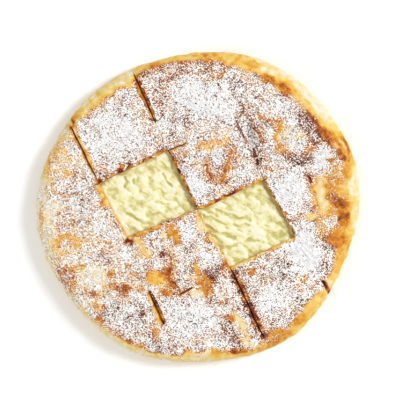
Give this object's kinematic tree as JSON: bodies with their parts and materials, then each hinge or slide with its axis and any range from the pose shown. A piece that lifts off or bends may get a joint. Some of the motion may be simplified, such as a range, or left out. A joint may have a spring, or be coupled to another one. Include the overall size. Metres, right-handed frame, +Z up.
{
  "type": "custard feteer",
  "caption": "Round flaky pastry pie filled with custard, cut in a grid of slices, with square windows where the top crust is gone and custard shows.",
  "frame": {"origin": "middle of the pie's flat base", "axes": "+Z up through the pie, the side shown in the picture up; +X to the right of the picture and +Y to its top"},
  "size_m": [0.323, 0.3098, 0.0301],
  "materials": {
    "crust": "baked flaky pastry, cream to deep brown, dusted with powdered sugar, matte",
    "custard": "set pale custard, lumpy, moist and softly glossy"
  },
  "bodies": {
    "root": {"crust_a1": "crust", "crust_a2": "crust", "crust_a3": "crust", "crust_a4": "crust", "crust_b1": "crust", "crust_b4": "crust", "crust_c1": "crust", "crust_c4": "crust", "crust_d1": "crust", "crust_d2": "crust", "crust_d3": "crust", "crust_d4": "crust", "top_b3": "crust", "top_c2": "crust", "base_b2": "crust", "base_b3": "crust", "base_c2": "crust", "base_c3": "crust", "custard_a1": "custard", "custard_a2": "custard", "custard_a3": "custard", "custard_a4": "custard", "custard_b1": "custard", "custard_b2": "custard", "custard_b3": "custard", "custard_b4": "custard", "custard_c1": "custard", "custard_c2": "custard", "custard_c3": "custard", "custard_c4": "custard", "custard_d1": "custard", "custard_d2": "custard", "custard_d3": "custard", "custard_d4": "custard"}
  },
  "joints": []
}
